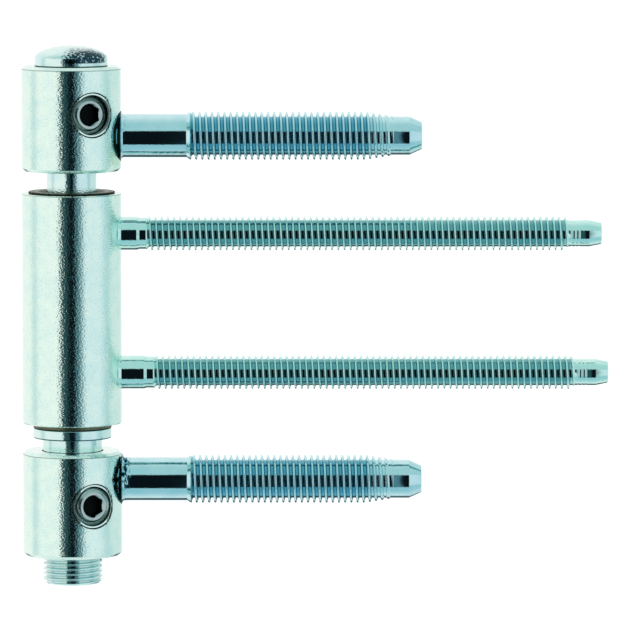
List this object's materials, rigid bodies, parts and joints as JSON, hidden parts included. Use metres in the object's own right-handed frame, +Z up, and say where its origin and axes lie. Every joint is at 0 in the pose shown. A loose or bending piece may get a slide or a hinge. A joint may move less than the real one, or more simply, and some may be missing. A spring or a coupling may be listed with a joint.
{
  "type": "barrel hinge",
  "caption": "Drill-in barrel hinge in plated steel: frame barrels above and below a leaf barrel, threaded studs, a headed pin, clamp screws and a screw spindle for height.",
  "frame": {"origin": "on the hinge axis, at the lower end of the height spindle, in the mouth of its key socket", "axes": "+Z up along the hinge axis, +X along the studs, -Y towards the side that the clamp screws face"},
  "size_m": [0.1181, 0.02, 0.1088],
  "materials": {
    "barrel_zinc": "zinc plated, pale blue passivated, satin",
    "stud_zinc": "zinc plated, blue passivated, bright",
    "pin_zinc": "zinc plated, pale blue passivated, bright",
    "screw_black_zinc": "hardened steel, dark, zinc plated",
    "bearing_bronze": "sintered bronze, dull"
  },
  "bodies": {
    "frame_side": {"upper_frame_barrel": "barrel_zinc", "upper_frame_stud": "stud_zinc", "hinge_pin": "pin_zinc", "lower_frame_barrel": "barrel_zinc", "lower_frame_stud": "stud_zinc"},
    "height_ring": {"thrust_washer": "bearing_bronze"},
    "spindle": {"height_spindle": "pin_zinc"},
    "leaf_side": {"leaf_barrel": "barrel_zinc", "upper_leaf_stud": "stud_zinc", "lower_leaf_stud": "stud_zinc", "upper_bush": "bearing_bronze", "lower_bush": "bearing_bronze"},
    "upper_clamp": {"upper_clamp_screw": "screw_black_zinc"},
    "lower_clamp": {"lower_clamp_screw": "screw_black_zinc"}
  },
  "joints": [
    {"name": "height_adjust", "type": "slide", "parent": "frame_side", "child": "height_ring", "axis": [0, 0, 1], "range_m": [-0.0024, 0.003]},
    {"name": "spindle_turn", "type": "hinge", "parent": "height_ring", "child": "spindle", "pos_m": [0, 0, 0], "axis": [0, 0, 1], "range_deg": [-864, 1080]},
    {"name": "leaf_swing", "type": "hinge", "parent": "height_ring", "child": "leaf_side", "pos_m": [0, 0, 0.03255], "axis": [0, 0, 1], "continuous": true},
    {"name": "upper_clamp_travel", "type": "slide", "parent": "frame_side", "child": "upper_clamp", "axis": [0.4695, -0.8829, 0], "range_m": [0, 0.003]},
    {"name": "lower_clamp_travel", "type": "slide", "parent": "frame_side", "child": "lower_clamp", "axis": [0.4695, -0.8829, 0], "range_m": [0, 0.003]}
  ],
  "couplings": [
    {"joint": "spindle_turn", "follows": "height_adjust", "rad_per_m": 6283.2}
  ]
}
